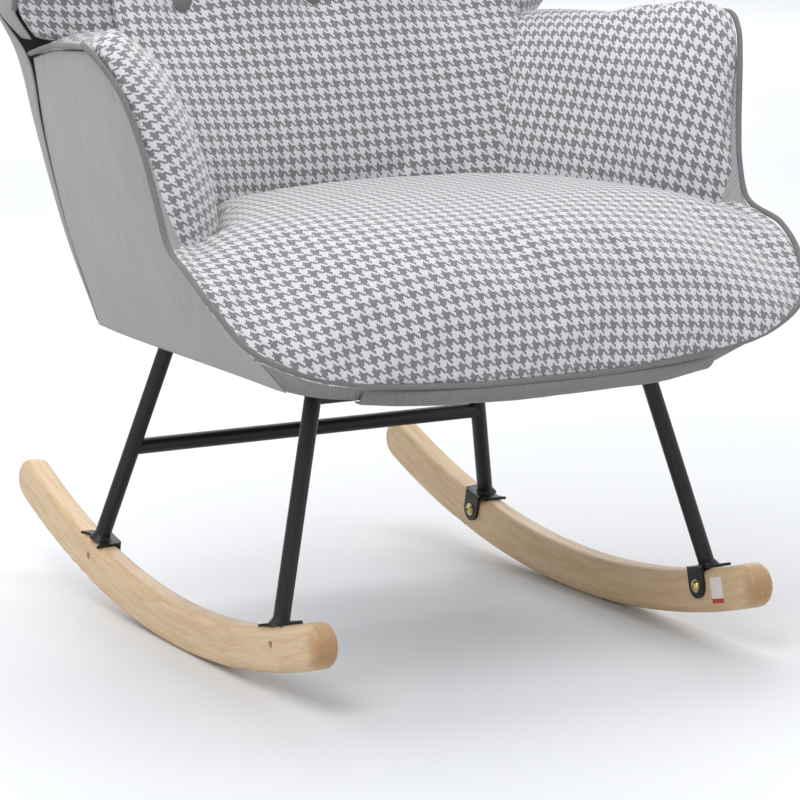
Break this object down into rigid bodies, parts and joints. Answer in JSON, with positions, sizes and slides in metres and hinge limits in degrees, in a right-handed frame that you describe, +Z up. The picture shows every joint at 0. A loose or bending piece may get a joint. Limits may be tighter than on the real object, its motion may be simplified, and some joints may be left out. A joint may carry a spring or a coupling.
{
  "type": "rocking chair",
  "caption": "Upholstered wing-back rocking chair: padded tub seat, splayed arms and button back on a steel tube base with bent wooden rockers.",
  "frame": {"origin": "on the floor, midway between the two points where the rockers touch it at rest", "axes": "+Z up, the sitter faces -Y, +X towards the sitter's left"},
  "size_m": [0.7658, 0.7424, 0.9609],
  "materials": {
    "rocker_wood": "clear satin lacquer on pale bent hardwood",
    "black_steel": "satin black powder coat",
    "zinc_fastener": "yellow zinc plating",
    "frame_timber": "planed softwood",
    "frame_ply": "raw plywood",
    "webbing": "elastic upholstery webbing",
    "check_fabric": "woven houndstooth over foam",
    "shell_fabric": "fine ribbed weave",
    "piping_fabric": "plain weave welt",
    "button_fabric": "plain weave over a button mould",
    "dust_cover": "non-woven polypropylene",
    "label": "matt paper sticker"
  },
  "bodies": {
    "root": {"arm_and_seat_piping": "piping_fabric", "arm_frame_left": "frame_ply", "arm_frame_right": "frame_ply", "arm_pad_left": "check_fabric", "arm_pad_right": "check_fabric", "back_buttons": "button_fabric", "back_cushion": "check_fabric", "back_frame": "frame_ply", "back_piping": "piping_fabric", "back_shell": "shell_fabric", "dust_cover": "dust_cover", "front_band": "shell_fabric", "front_bracket_left": "black_steel", "front_bracket_right": "black_steel", "front_edge_roll": "check_fabric", "front_flap": "shell_fabric", "front_leg_left": "black_steel", "front_leg_right": "black_steel", "front_top_rail": "black_steel", "mounting_plates": "black_steel", "rear_bracket_left": "black_steel", "rear_bracket_right": "black_steel", "rear_crossbar": "black_steel", "rear_leg_left": "black_steel", "rear_leg_right": "black_steel", "rear_top_rail": "black_steel", "rocker_bolts": "zinc_fastener", "rocker_insert_nuts": "zinc_fastener", "rocker_label": "label", "rocker_left": "rocker_wood", "rocker_right": "rocker_wood", "rocker_washers": "zinc_fastener", "seat_bolts": "zinc_fastener", "seat_cushion": "check_fabric", "seat_front_rail": "frame_timber", "seat_rear_rail": "frame_timber", "seat_side_rail_left": "frame_timber", "seat_side_rail_right": "frame_timber", "seat_webbing": "webbing", "side_shell_left": "shell_fabric", "side_shell_right": "shell_fabric", "wing_pad_left": "check_fabric", "wing_pad_right": "check_fabric", "wing_shell_left": "shell_fabric", "wing_shell_right": "shell_fabric"}
  },
  "joints": []
}
